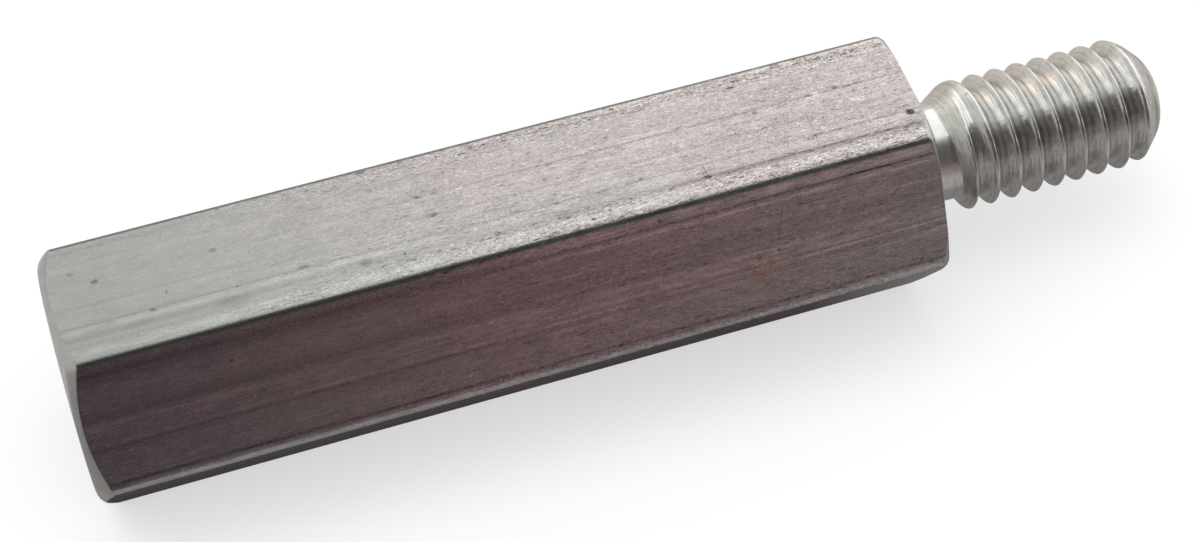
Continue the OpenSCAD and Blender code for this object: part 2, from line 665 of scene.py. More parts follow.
def spot_group():
    """Adds one spot of a Depth to Sum, at a place on a flat, Stretch times as long as it is wide."""
    tree, given = start_group("spot", {**MARK_PLACE, **SPOT_SIZES}, ["Sum"])
    along = (given["Along"] - given["Centre Along"]) / given["Stretch"]
    across = given["Across"] - given["Centre Across"]
    distance = (along * along + across * across).root() / given["Radius"]
    inside = (given["Ragged"] * SPOT_RAGGED + 1 - distance).step_between(0.0, SPOT_SOFTNESS)
    return end_group(tree, {"Sum": inside * given["Depth"] + given["Sum"]})


def flat_group():
    """How far across a flat a place lies, and if it is on it. The flat faces Angle, from +Z towards -Y."""
    tree, given = start_group("flat", {"Place": None, "Angle": 0.0, "Radius": 1.0}, ["Across", "On"])
    _, y, z = split(tree, given["Place"])
    sine = given["Angle"].sine()
    cosine = given["Angle"].cosine()
    across = (y * cosine + z * sine) * -1
    out = (z * cosine - y * sine) / given["Radius"]
    return end_group(tree, {"Across": across, "On": out.step_between(*FLAT_RIM)})


# ================================================================ marks on the two upper flats, in mm
TOP_FLAT = 0.0                                           # the angle that a flat faces, from +Z towards -Y
FRONT_FLAT = math.radians(60)
HALF_FLAT = 2.02                                         # half the width of a flat

# Light and dark lines along the bar, as (place across, share by which the metal is lighter there).
# Each flat has one profile for the open end's half and one for the stud's half.
# The top flat's darkest ends, at its rounded edges, are painted shade.
TOP_OPEN_LINES = [
    (-2.02, -0.40), (-1.94, -0.06), (-1.80, 0.00), (-1.73, -0.07), (-1.66, 0.01), (-1.34, 0.00),
    (-1.28, -0.03), (-1.20, 0.01), (-0.60, 0.00), (-0.54, -0.02), (-0.48, 0.01), (0.12, 0.00),
    (0.20, -0.04), (0.27, 0.02), (0.78, 0.01), (0.85, -0.10), (0.91, 0.04), (1.03, 0.09),
    (1.12, -0.01), (1.24, -0.08), (1.38, 0.00), (1.50, -0.05), (1.60, 0.02), (1.75, 0.08),
    (1.90, 0.02), (2.02, -0.10),
]
TOP_STUD_LINES = [
    (-2.02, -0.30), (-1.95, 0.00), (-1.87, 0.05), (-1.80, 0.00), (-1.68, -0.07), (-1.60, 0.02),
    (-1.20, 0.00), (-0.58, 0.02), (-0.52, -0.10), (-0.46, 0.03), (0.00, 0.00), (0.15, 0.02),
    (0.22, -0.08), (0.28, 0.00), (0.35, 0.06), (0.45, 0.00), (0.75, 0.00), (0.82, 0.02),
    (0.89, -0.12), (0.96, 0.00), (1.10, 0.03), (1.25, -0.02), (1.33, -0.09), (1.40, -0.11),
    (1.50, -0.05), (1.60, 0.03), (1.75, 0.06), (1.85, 0.02), (1.93, -0.08), (2.02, -0.15),
]
FRONT_OPEN_LINES = [
    (-2.02, -0.12), (-1.93, -0.05), (-1.80, -0.02), (-1.60, -0.13), (-1.45, -0.07), (-1.20, 0.02),
    (-0.90, 0.03), (-0.60, 0.00), (-0.42, -0.04), (-0.33, -0.08), (-0.22, -0.02), (-0.12, 0.05),
    (-0.06, 0.10), (-0.02, 0.02), (0.03, 0.08), (0.10, 0.00), (0.15, 0.07), (0.25, 0.00),
    (0.42, 0.00), (0.47, 0.06), (0.53, 0.00), (0.60, -0.12), (0.67, -0.03), (0.90, 0.00),
    (1.30, 0.02), (1.60, 0.00), (1.69, -0.20), (1.76, 0.00), (1.83, 0.10), (2.00, 0.00),
]
FRONT_STUD_LINES = [
    (-2.02, -0.12), (-1.95, 0.04), (-1.85, 0.14), (-1.70, 0.14), (-1.60, 0.08), (-1.53, -0.12),
    (-1.47, 0.02), (-1.37, 0.16), (-1.30, 0.04), (-1.10, 0.00), (-0.82, 0.02), (-0.77, 0.06),
    (-0.72, -0.02), (-0.40, -0.03), (-0.30, 0.02), (-0.22, -0.06), (-0.10, 0.00), (0.06, 0.08),
    (0.15, 0.00), (0.28, 0.06), (0.36, 0.10), (0.45, -0.05), (0.52, 0.10), (0.60, 0.00),
    (0.68, -0.05), (0.78, 0.07), (0.90, 0.00), (1.60, 0.00), (1.69, -0.16), (1.76, 0.00),
    (1.85, 0.08), (2.00, 0.00),
]

# Dark scores along the bar: start, end, place across, slope, width, depth.
TOP_SCORES = [
    (12.4, 20.6, -0.53, 0.004, 0.06, 0.35), (17.2, 24.9, 1.37, 0.006, 0.17, 0.6),
    (18.4, 24.7, 1.33, 0.008, 0.05, 0.7), (21.2, 23.9, -0.54, 0.0, 0.05, 0.4),
]
FRONT_SCORES = [
    (18.8, 24.9, -1.57, 0.004, 0.08, 0.7), (21.4, 24.6, -1.24, 0.004, 0.04, 0.6),
    (22.5, 23.7, -1.56, 0.03, 0.07, 0.9), (19.8, 24.6, 0.76, 0.002, 0.05, 0.5),
    (14.9, 19.6, -1.66, 0.012, 0.05, 0.35), (16.8, 20.6, -0.05, 0.01, 0.06, 0.4),
    (6.2, 7.5, 0.60, 0.0, 0.06, 0.6),
]
# Bright scuffs, in the same way.
FRONT_SCUFFS = [
    (3.80, 4.32, 0.13, -0.85, 0.06, 1.2), (20.3, 24.9, 0.52, 0.0, 0.12, 0.5),
    (12.5, 24.8, -1.36, 0.0, 0.07, 0.5), (20.2, 24.8, -1.37, 0.0, 0.05, 0.5),
    (21.4, 24.4, -1.72, 0.0, 0.05, 0.5), (12.9, 15.4, 0.54, 0.0, 0.06, 0.7),
    (17.8, 24.6, 0.86, 0.0, 0.05, 0.6), (8.3, 12.2, -0.04, 0.0, 0.05, 0.8),
    (5.1, 6.4, 0.02, 0.0, 0.05, 0.6), (9.8, 12.9, 0.52, 0.0, 0.10, 0.6),
]
# Dark hairlines across a flat: place along, start and end across, slope, width, depth.
TOP_HAIRLINES = [
    (21.8, -0.05, 1.35, -0.03, 0.05, 0.9), (18.38, 0.80, 1.38, 0.05, 0.05, 0.9),
]
FRONT_HAIRLINES = [
    (20.24, -1.18, -0.10, -0.25, 0.05, 1.1), (7.30, -0.27, 0.65, 0.0, 0.04, 0.6),
    (18.62, -1.95, -1.60, 0.05, 0.08, 1.1), (19.68, -2.00, -1.80, 0.0, 0.08, 0.8),
    (24.52, -1.30, -0.70, 0.0, 0.05, 0.7), (24.68, -1.20, -0.60, 0.05, 0.05, 0.8),
]
# Dark spots, brown stains and bright flecks: place along and across, radius, stretch, depth.
TOP_SPOTS = [
    (0.89, -0.96, 0.09, 1.5, 0.8), (1.46, -0.52, 0.09, 1.4, 1.2), (4.73, -0.54, 0.09, 1.5, 0.9),
    (3.25, 0.44, 0.07, 0.9, 1.1), (2.78, 0.90, 0.08, 1.4, 1.0), (6.96, 0.79, 0.09, 2.2, 0.9),
    (4.9, 1.32, 0.20, 3.0, 0.4), (2.3, 1.22, 0.16, 2.8, 0.25), (0.95, -0.05, 0.22, 1.2, 0.15),
    (5.2, -1.62, 0.14, 2.6, 0.25), (7.5, 0.45, 0.20, 2.4, 0.15), (8.58, 1.17, 0.15, 1.6, 0.7),
    (14.2, 1.35, 0.22, 1.1, 0.45), (20.43, -0.40, 0.09, 1.2, 1.1), (22.92, -0.57, 0.08, 1.2, 0.9),
    (23.27, 0.70, 0.07, 1.0, 1.0), (23.40, -0.29, 0.12, 1.2, 0.5), (18.83, 0.08, 0.05, 1.0, 0.8),
    (15.60, 0.00, 0.05, 1.2, 0.7), (16.60, 0.83, 0.07, 1.6, 0.7), (14.90, 1.33, 0.06, 1.0, 0.8),
    (14.10, 0.92, 0.06, 1.6, 0.7), (10.50, -0.54, 0.08, 1.6, 0.7), (11.00, -0.52, 0.07, 1.5, 0.7),
    (10.75, 0.20, 0.09, 2.6, 0.7), (10.90, 0.48, 0.08, 2.2, 0.6), (12.30, 1.42, 0.09, 1.6, 0.9),
    (10.60, 1.46, 0.07, 1.2, 0.7), (9.30, -1.17, 0.10, 1.3, 0.5), (8.00, 1.33, 0.06, 1.3, 0.7),
    (5.10, 0.87, 0.05, 1.4, 0.7), (24.61, 0.97, 0.12, 1.3, 2.6), (18.4, 1.36, 0.09, 1.6, 1.1),
    (20.1, -1.50, 0.08, 2.0, 0.9),
]
FRONT_SPOTS = [
    (4.43, -0.96, 0.07, 1.3, 1.8), (16.7, -1.68, 0.09, 0.7, 1.4), (19.35, 0.21, 0.07, 1.6, 1.1),
    (15.0, 1.68, 0.07, 1.3, 0.9), (24.1, 1.58, 0.10, 0.8, 0.8), (22.75, 0.25, 0.12, 1.5, 0.5),
]
FRONT_STAINS = [
    (19.45, 0.66, 0.32, 1.3, 1.0),
]
TOP_FLECKS = [
    (22.3, -0.52, 0.10, 1.6, 1.0), (23.4, 0.02, 0.12, 2.0, 1.0),
]
FRONT_FLECKS = [
    (1.9, 0.42, 0.06, 2.6, 1.4), (2.9, 0.42, 0.04, 1.5, 1.2), (19.2, 0.08, 0.08, 1.0, 1.0),
]


# ================================================================ materials, in mm
LINE_MIDDLE = 0.5                                        # the grey that stands for no change


class Metal:
    """A bare metal: its material, tree and shader, and the place on its surface in mm."""

    def __init__(self, name, groups):
        self.material = bpy.data.materials.new(name)
        self.material.use_nodes = True
        self.tree = self.material.node_tree
        self.shader = self.tree.nodes["Principled BSDF"]
        self.shader.inputs["Metallic"].default_value = 1
        self.groups = groups
        metres = self.tree.nodes.new("ShaderNodeTexCoord").outputs["Object"]
        self.place = scaled(self.tree, metres, 1 / MM)
        self.x, self.y, self.z = split(self.tree, self.place)

    def from_axis(self):
        return (self.y * self.y + self.z * self.z).root()

    def noise(self, length, width, seed, detail=1, place=None):
        """The stretched noise at the place on the surface, or at another one."""
        place = self.place if place is None else place
        inputs = {"Place": place, "Length": length, "Width": width, "Seed": seed, "Detail": detail}
        return use_group(self.tree, self.groups["noise"], inputs)

    def pits(self, spacing, size, share):
        inputs = {"Place": self.place, "Spacing": spacing, "Size": size, "Share": share}
        return use_group(self.tree, self.groups["pits"], inputs)

    def flat(self, angle):
        """How far across the flat that faces the angle, and if the place is on it."""
        inputs = {"Place": self.place, "Angle": angle, "Radius": FLAT_R / MM}
        return use_group(self.tree, self.groups["flat"], inputs)

    def marks(self, group, labels, where, rows, found):
        """Adds a mark for each row, whose values go by the labels, to what has been found so far."""
        for row in rows:
            inputs = {**where, **dict(zip(labels, row)), "Sum": found}
            found = use_group(self.tree, self.groups[group], inputs)
        return found

    def lines(self, across, rows):
        """How much lighter the metal is, read from a list of lines at its place across a flat."""
        greys = [(at, (LINE_MIDDLE + lighter,) * 3) for at, lighter in rows]
        return Number(self.tree, colour_ramp(self.tree, across, -HALF_FLAT, HALF_FLAT, greys)) - LINE_MIDDLE

    def finish(self, colour, roughness, height):
        """Feeds the shader and gives the material. The height is in mm."""
        feed(self.tree, self.shader.inputs["Base Color"], colour)
        feed(self.tree, self.shader.inputs["Roughness"], roughness)
        inputs = {"Height": height * MM, "Distance": 1, "Strength": 1}
        bump = add_node(self.tree, "ShaderNodeBump", inputs)
        feed(self.tree, self.shader.inputs["Normal"], bump.outputs[0])
        return self.material


def total(masks):
    """The masks added up, each times its weight."""
    found = 0.0
    for mask, weight in masks:
        found = mask * weight + found
    return found


# ---------------------------------------------------------------- the drawn bar
COOL_TINT = (0.550, 0.562, 0.550)
WARM_TINT = (0.590, 0.545, 0.546)
STAIN_TINT = (0.70, 0.47, 0.36)
# the grey of the painted shade on the top flat's rounded edges
EDGE_SHADE_TINT = (0.33, 0.36, 0.38)
STAIN_STRENGTH = 0.5
# Each pair of places is where an effect begins and where it is whole. A WANDER is how far noise
# shifts them.
TINT_SPREAD = (-0.8, 1.3)                                # from wholly cool to wholly warm
WORN_RIM = 0.7                                           # how far in from a flat's edges it is worn more
WORN_RIM_FADE = 0.35
WORN_RIM_WANDER = 0.15
RUBBED = (2.5, 13.0)                                     # along the bar, where it gets rubbed more
RUBBED_WANDER = 2.0
FRONT_RUBBED = 0.45                                      # how rubbed the front flat is everywhere
STUD_LINES = (9.5, 14.5)                                 # where the lines of the stud's half take over
STUD_LINES_WANDER = 1.2
SHADED_AND_HANDLED = (17.0, 22.0)                                   # where the top flat gets painted shade, and busier grain from handling
SHADED_AND_HANDLED_WANDER = 1.5
DASHES = (0.3, 0.9)                                      # how strong the noise is where a dash lies
FLECKS = (0.4, 1.0)
COOL_TOP = (0.0, 0.9)                                    # across the top flat, its cooler side
COOL_TOP_WANDER = 0.3
COOL_TOP_END = (19.0, 15.5)                              # along it, the end of that
COOL_FRONT = (0.5, 0.9)                                  # across the front flat, its cooler side
EDGE_LINE = (1.93, 1.99)                                 # across the top flat, the painted shade on its rounded edges
EDGE_LINE_HEIGHT = (0.962, 0.975)                        # its lower limit, as a share of the flat's height
EDGE_LINE_SHIFT = 0.02                                   # how much wider it is on the far side
EDGE_LINE_WANDER = 0.02
LINE_WANDER = 0.012
FRONT_SCORED = 1.5                                       # how much stronger the front flat's lines are
MOST_DARKENED = 2.2
MOST_BRIGHTENED = 1.4
DARKEST = 0.12
SMOOTHEST, ROUGHEST = 0.12, 0.6


def drawn_bar(groups):
    """The bar's flats and edges: dull, with the lines, dashes, pits and scuffs that drawing leaves."""
    metal = Metal("drawn_bar", groups)
    x, y, z = metal.x, metal.y, metal.z
    flat_r = FLAT_R / MM
    top_across, on_top = metal.flat(TOP_FLAT)
    front_across, on_front = metal.flat(FRONT_FLAT)
    unmarked = 1 - on_top - on_front                     # the flats that have no lists of marks

    clouds = metal.noise(length=5.0, width=1.2, seed=1)
    blotches = metal.noise(length=0.9, width=0.3, seed=9, detail=2)
    bands = metal.noise(length=5.0, width=0.2, seed=2)
    fine_bands = metal.noise(length=1.6, width=0.055, seed=3)
    mottle = metal.noise(length=0.32, width=0.12, seed=4, detail=2)
    grain = metal.noise(length=0.075, width=0.045, seed=5, detail=2)
    dashes = metal.noise(length=0.26, width=0.055, seed=6).step_between(*DASHES)
    flecks = metal.noise(length=0.15, width=0.045, seed=7).step_between(*FLECKS)
    pits = metal.pits(spacing=0.6, size=0.15, share=0.3)

    # where the surface is busier
    from_edge = HALF_FLAT - (y * y + z * z - flat_r * flat_r).at_least(0.0).root()
    near_edge = (WORN_RIM - from_edge + mottle * WORN_RIM_WANDER).step_between(0.0, WORN_RIM_FADE)
    near_edge = near_edge * (on_top * 0.6 + 0.3)
    rubbed = (x + clouds * RUBBED_WANDER).step_between(*RUBBED).at_least(on_front * FRONT_RUBBED)
    busy = (rubbed * 0.8 + 0.2) * (near_edge + 1)
    # the top flat darkens towards the stud: painted shade, with busier grain there from handling
    shaded_and_handled = (x + clouds * SHADED_AND_HANDLED_WANDER).step_between(*SHADED_AND_HANDLED) * on_top

    # lines along the bar
    wavy = bands * LINE_WANDER + mottle * LINE_WANDER
    stud_half = (x + mottle * STUD_LINES_WANDER).step_between(*STUD_LINES)

    def lined(across, open_lines, stud_lines):
        at_open_end = metal.lines(across + wavy, open_lines)
        at_stud = metal.lines(across + wavy, stud_lines)
        return (at_stud - at_open_end) * stud_half + at_open_end

    scored = lined(top_across, TOP_OPEN_LINES, TOP_STUD_LINES) * on_top
    scored = lined(front_across, FRONT_OPEN_LINES, FRONT_STUD_LINES) * on_front * FRONT_SCORED + scored
    broken = total([(fine_bands, 0.5), (mottle, 0.4), (blotches, 0.6)]) + 1
    scored = scored * broken.at_least(0.0)
    # painted shade on the top flat's rounded edges: a dark grey blended over their colour
    far_over = abs(top_across) - top_across * EDGE_LINE_SHIFT
    painted_edge_shade = (far_over + grain * EDGE_LINE_WANDER).step_between(*EDGE_LINE)
    painted_edge_shade = painted_edge_shade * (z / flat_r).step_between(*EDGE_LINE_HEIGHT)

    # single marks
    ragged = total([(mottle, 0.6), (grain, 0.8)])

    def marked(across, scores, hairlines, places):
        where = {"Along": x, "Across": across, "Ragged": ragged}
        turned = {"Along": across, "Across": x, "Ragged": ragged}
        found = metal.marks("mark", MARK_SIZES, where, scores, 0.0)
        found = metal.marks("mark", HAIRLINE_SIZES, turned, hairlines, found)
        return metal.marks("spot", SPOT_SIZES, where, places, found)

    dark_marks = marked(top_across, TOP_SCORES, TOP_HAIRLINES, TOP_SPOTS) * on_top
    dark_marks = marked(front_across, FRONT_SCORES, FRONT_HAIRLINES, FRONT_SPOTS) * on_front + dark_marks
    bright_marks = marked(top_across, [], [], TOP_FLECKS) * on_top
    bright_marks = marked(front_across, FRONT_SCUFFS, [], FRONT_FLECKS) * on_front + bright_marks

    shade = total([
        (clouds, 0.02),
        (blotches * (rubbed + 0.9), 0.065),
        (bands, 0.035),
        (fine_bands * busy, 0.06),
        (bands * unmarked, 0.06),
        (fine_bands * unmarked, 0.12),
        (mottle * busy, 0.09),
        (grain * busy, 0.25),
        (dashes * busy, -0.34),
        (flecks * busy, 0.50),
        (pits * busy, -0.45),
        # painted shade on the top flat towards the stud, and its busier grain
        (shaded_and_handled, -0.08),
        (grain * shaded_and_handled, 0.08),
        (mottle * shaded_and_handled, 0.03),
        (scored, 1.6),
        (dark_marks.at_most(MOST_DARKENED), -0.38),
        (bright_marks.at_most(MOST_BRIGHTENED), 0.29),
    ]) + 1
    cool_front = front_across.step_between(*COOL_FRONT) * on_front
    cool_top = (top_across + clouds * COOL_TOP_WANDER).step_between(*COOL_TOP) * on_top
    cool_side = cool_top * (x + clouds).step_between(*COOL_TOP_END) + cool_front
    warm = total([
        (clouds, 0.35),
        (blotches, 0.25),
        (fine_bands, 0.2),
        (rubbed, 1.1),
        (cool_side, -0.7),
    ]) - 0.3
    stained = marked(front_across, [], [], FRONT_STAINS) * on_front * STAIN_STRENGTH
    tint = blend(metal.tree, warm.step_between(*TINT_SPREAD), COOL_TINT, WARM_TINT)
    tint = blend(metal.tree, stained, tint, STAIN_TINT)
    # painted shade on the rounded edges
    tint = blend(metal.tree, painted_edge_shade, tint, EDGE_SHADE_TINT)
    roughness = total([
        (mottle, 0.02),
        (dashes, 0.06),
        (pits, 0.12),
        (dark_marks, 0.10),
        (bright_marks, -0.05),
    ]) + 0.27
    height = total([(fine_bands, 0.0006), (grain, 0.0008), (pits, -0.006)])
    colour = scaled(metal.tree, tint, shade.at_least(DARKEST))
    return metal.finish(colour, roughness.at_least(SMOOTHEST).at_most(ROUGHEST), height)


# ---------------------------------------------------------------- faced and turned ends
FACED_LIGHT, FACED_DARK = (0.60, 0.60, 0.585), (0.54, 0.53, 0.51)
TURNED_LIGHT, TURNED_DARK = (0.91, 0.94, 0.94), (0.86, 0.86, 0.84)
RING_FINENESS = 3                                        # the rings change quickly along the section
RING_DRIFT = 0.6                                         # and slowly around it


def turned_metal(name, groups, light, dark, roughness):
    """Surfaces that a lathe tool has faced or turned, with its fine rings."""
    metal = Metal(name, groups)
    along = (metal.x + metal.from_axis()) * RING_FINENESS
    section = join(metal.tree, along, metal.y * RING_DRIFT, metal.z * RING_DRIFT)
    rings = metal.noise(length=0.09, width=1, seed=1, place=section)
    fine_rings = metal.noise(length=0.035, width=1, seed=2, place=section)
    smudge = metal.noise(length=0.5, width=0.5, seed=3)
    grain = metal.noise(length=0.07, width=0.07, seed=8)
    specks = metal.pits(spacing=0.35, size=0.1, share=0.3)
    share = (smudge + rings * 0.4).step_between(-1.0, 1.0)
    shade = total([(rings, 0.06), (fine_rings, 0.05), (grain, 0.05), (specks, -0.25)]) + 1
    rough = total([(smudge, 0.03), (fine_rings, 0.02), (specks, 0.1)]) + roughness
    height = total([(rings, 0.0006), (specks, -0.003), (smudge, 0.0010)])
    colour = scaled(metal.tree, blend(metal.tree, share, light, dark), shade)
    return metal.finish(colour, rough, height)


# ---------------------------------------------------------------- both threads
CLEAN_TINT = (0.87, 0.875, 0.86)
BROWN_TINT = (0.91, 0.86, 0.80)
CREST_BAND = 0.05                                        # below the crests, where they begin
ROOT_BAND = 0.08                                         # above the roots, where they begin
ROOT_FADE = 0.3                                          # along X from the run-in
BROWN = (-0.4, 1.4)                                      # from wholly clean to wholly brown
CREST_SHADE_SIDE = math.radians(44)                             # the side whose crests get painted shade, from +Z to -Y
CREST_SHADE_RIM = (0.88, 0.99)                                  # how squarely a place faces that way
CREST_SHADE_WANDER = 0.02
LINE_LEAN = 1.3                                          # how much more the lines change along Z than Y
DARKEST_THREAD = 0.2
SMOOTHEST_THREAD = 0.08


def cut_thread(groups):
    """Both threads: bright, with fine lines along the helix, painted shade on the crests of one side and,
    on the stud, rougher roots with painted shade.
    """
    metal = Metal("cut_thread", groups)
    y, z = metal.y, metal.z
    helix = add_node(metal.tree, "ShaderNodeAttribute", attribute_name="helix").outputs["Vector"]
    across, up, _ = split(metal.tree, helix)

    def lines(fineness, length, seed):
        """Noise with Fineness lines across one pitch, each about Length long around the axis."""
        around = (y + z * LINE_LEAN) / length
        point = join(metal.tree, around, across * fineness, up * fineness)
        return metal.noise(length=1, width=1, seed=seed, place=point)

    broad = lines(fineness=0.9, length=1.4, seed=1)
    fine = lines(fineness=3.0, length=0.9, seed=2)
    hair = lines(fineness=7.0, length=0.45, seed=3)
    smudge = metal.noise(length=0.8, width=0.6, seed=3)
    blotches = metal.noise(length=0.28, width=0.24, seed=4)
    nicks = metal.pits(spacing=0.35, size=0.12, share=0.4)

    radius = metal.from_axis()
    crest_r = CREST_R / MM
    root_r = (CREST_R - THREAD_DEPTH) / MM
    crest = ((radius - crest_r + CREST_BAND) / CREST_BAND).step_between(0.0, 1.0)
    # the roots are rougher, and get painted shade as well
    root = ((root_r + ROOT_BAND - radius) / ROOT_BAND).step_between(0.0, 1.0)
    root = root * (metal.x - RUN_IN_X / MM).step_between(0.0, ROOT_FADE)
    # crests facing that side get painted shade
    side = (z * math.cos(CREST_SHADE_SIDE) - y * math.sin(CREST_SHADE_SIDE)) / radius
    crest_shade = crest * (side + blotches * CREST_SHADE_WANDER).step_between(*CREST_SHADE_RIM)

    shade = total([
        # painted shade on one side's crests
        (crest_shade, -0.30),
        (broad, 0.10),
        (fine, 0.17),
        (hair, 0.13),
        (smudge, 0.07),
        (blotches, 0.09),
        (nicks, -0.3),
        (crest, 0.10),
        # painted shade in the roots
        (root, -0.26),
    ]) + 0.95
    brown = total([(smudge, 1), (blotches, 0.8), (broad, 0.3)]).step_between(*BROWN)
    roughness = total([
        (smudge, 0.04),
        (fine, 0.04),
        (blotches, 0.04),
        (nicks, 0.1),
        (root, 0.16),
    ]) + 0.22
    height = total([(broad, 0.0020), (fine, 0.0019), (blotches, 0.0018), (nicks, -0.004)])
    tint = blend(metal.tree, brown, CLEAN_TINT, BROWN_TINT)
    colour = scaled(metal.tree, tint, shade.at_least(DARKEST_THREAD))
    return metal.finish(colour, roughness.at_least(SMOOTHEST_THREAD), height)


# ================================================================ the piece
ON_BAR = 0.99                                            # the bar's own faces, as a share of FLAT_R
ALONG_BAR = 0.01                                         # how little they may face along X


def finish_of(face):
    """The finish of a face of the bar's turned mesh."""
    middle = face.calc_center_median()
    radius = math.hypot(middle.y, middle.z)
    if radius > ON_BAR * FLAT_R and abs(face.normal.x) < ALONG_BAR:
        return "drawn_bar"
    if radius < CREST_R and middle.x > SHOULDER_X:
        return "turned_stud"
    return "faced_ends"


def make_standoff():
    """The whole turned piece as one closed mesh."""
    groups = {
        "noise": noise_group(),
        "pits": pits_group(),
        "mark": mark_group(),
        "spot": spot_group(),
        "flat": flat_group(),
    }
    bar = drawn_bar(groups)
    faced = turned_metal("faced_ends", groups, FACED_LIGHT, FACED_DARK, roughness=0.3)
    turned = turned_metal("turned_stud", groups, TURNED_LIGHT, TURNED_DARK, roughness=0.26)
    cut = cut_thread(groups)
    tree = thread_tree()
    meshes = [
        turned_mesh("drill", drill_section, turned),
        thread_mesh("hole_thread", tree, cut, HOLE_SIZES),
        turned_mesh("body", body_section, faced),
        thread_mesh("stud_thread", tree, cut, STUD_SIZES),
        turned_mesh("tip", tip_section, turned),
    ]
    parts = [bpy.data.objects.new(mesh.name, mesh) for mesh in meshes]
    for part in parts:
        bpy.context.scene.collection.objects.link(part)
    standoff = parts[0]
    with bpy.context.temp_override(active_object=standoff, selected_editable_objects=parts):
        bpy.ops.object.join()
    standoff.name = "turned_standoff"
    standoff.data.materials.append(bar)
    slots = {material.name: place for place, material in enumerate(standoff.data.materials)}
    shell = bmesh.new()
    shell.from_mesh(standoff.data)
    bmesh.ops.remove_doubles(shell, verts=shell.verts, dist=MERGE)
    bmesh.ops.recalc_face_normals(shell, faces=shell.faces)
    for face in shell.faces:
        face.smooth = True
        if face.material_index == slots["faced_ends"]:
            face.material_index = slots[finish_of(face)]
    shell.to_mesh(standoff.data)
    shell.free()
    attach(standoff, "root")
    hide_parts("standoff")


# ================================================================ stage
CAMERA_AZIMUTH = math.radians(-17.42)
CAMERA_ELEVATION = math.radians(53.63)
CAMERA_ROLL = math.radians(-0.93)
CAMERA_DISTANCE = 71.72 * MM
CAMERA_TARGET = Vector((15.31, -1.03, 0)) * MM
LENS = 74.73
SENSOR_WIDTH = 36
NEAREST_SEEN = 1 * MM
FARTHEST_SEEN = 10
FLOOR_SIZE = 4.0                                         # from the middle to each side
FLOOR_GREY = 0.50
FLOOR_GLOW = 0.53                                        # what the camera sees beside its shading
AMBIENT = 0.9
LAMP_SIZE = 0.4
LAMP_POWER = 0.6
LAMP_PLACE = (-0.1, 0.1, 0.5)

# Cards round the part, in mm. Only the metal mirrors them.
CARD_LEFT, CARD_RIGHT = -300, 400
CARD_FRONT, CARD_BACK = -150, 290
CARD_FLOOR = BAR_LOW.z / MM + 0.01
CARD_LOW, CARD_WAIST, CARD_MIDDLE, CARD_SKY, CARD_HIGH = 40, 60, 150, 300, 330
SKY_FRONT = -56
FAR_FLOOR = -30                                          # where the near floor card meets the far one
FLOOR_JOINT = 1                                          # where it meets the back one
BROW_LOW, BROW_MIDDLE, BROW_HIGH = 0.48, 0.68, 0.88      # how far up the high card it gets lighter
SHADE_FRONT, SHADE_BACK = -4.9, 4.5                      # the dark strip under the part
SHADE_Z = CARD_FLOOR + 0.01

# each card's colours, as (place along X, colour)
HIGH_COLOURS = [(CARD_LEFT, (0.10, 0.09, 0.085)), (CARD_RIGHT, (0.096, 0.088, 0.081))]
BROW_COLOURS = [(0.115, 0.111, 0.105), (0.23, 0.23, 0.22), (0.45, 0.46, 0.44)]
LEFT_COLOUR = (0.62, 0.62, 0.62)
LOW_COLOURS = [
    (-40, (0.03, 0.015, 0.025)),
    (3, (0.042, 0.027, 0.038)),
    (18, (0.172, 0.098, 0.102)),
    (36, (0.218, 0.101, 0.110)),
    (56, (0.265, 0.162, 0.162)),
    (69, (0.275, 0.24, 0.235)),
    (82, (0.19, 0.171, 0.167)),
]
FAR_FLOOR_COLOURS = [(0, (0.13, 0.10, 0.115)), (40, (0.22, 0.19, 0.19)), (70, (0.33, 0.315, 0.31))]
FLOOR_COLOURS = [(-6, (0.335, 0.325, 0.32)), (22, (0.30, 0.283, 0.283)), (32, (0.385, 0.37, 0.36))]
BACK_FLOOR_COLOURS = [(-6, (0.62, 0.625, 0.62)), (8, (0.53, 0.49, 0.45))]
BACK_COLOURS = [(-120, (0.40, 0.40, 0.42)), (0, (0.58, 0.54, 0.48))]
WAIST_COLOURS = [(80, (0.74, 0.715, 0.69)), (110, (1.45, 1.32, 1.14))]
UPPER_BACK_COLOURS = [(80, (0.86, 0.84, 0.815)), (110, (1.46, 1.34, 1.22))]
SKY_COLOURS = [
    (-60, (0.595, 0.615, 0.58)),
    (14, (0.60, 0.62, 0.585)),
    (44, (0.91, 0.88, 0.865)),
    (72, (1.08, 1.06, 1.03)),
    (92, (0.895, 0.83, 0.835)),
    (114, (0.79, 0.73, 0.74)),
    (128, (1.04, 1.01, 1.00)),
    (142, (1.16, 1.18, 1.15)),
]
SHADE_COLOURS = [(21.5, (0.062, 0.052, 0.058)), (25.5, (0.215, 0.205, 0.20))]


def make_camera():
    data = bpy.data.cameras.new("camera")
    data.lens = LENS
    data.sensor_width = SENSOR_WIDTH
    data.clip_start = NEAREST_SEEN
    data.clip_end = FARTHEST_SEEN
    camera = bpy.data.objects.new("camera", data)
    bpy.context.scene.collection.objects.link(camera)
    back = Vector((
        math.sin(CAMERA_AZIMUTH) * math.cos(CAMERA_ELEVATION),
        -math.cos(CAMERA_AZIMUTH) * math.cos(CAMERA_ELEVATION),
        math.sin(CAMERA_ELEVATION),
    ))
    turn = back.to_track_quat("Z", "Y") @ Matrix.Rotation(CAMERA_ROLL, 3, "Z").to_quaternion()
    camera.rotation_euler = turn.to_euler()
    camera.location = CAMERA_TARGET + back * CAMERA_DISTANCE
    bpy.context.scene.camera = camera


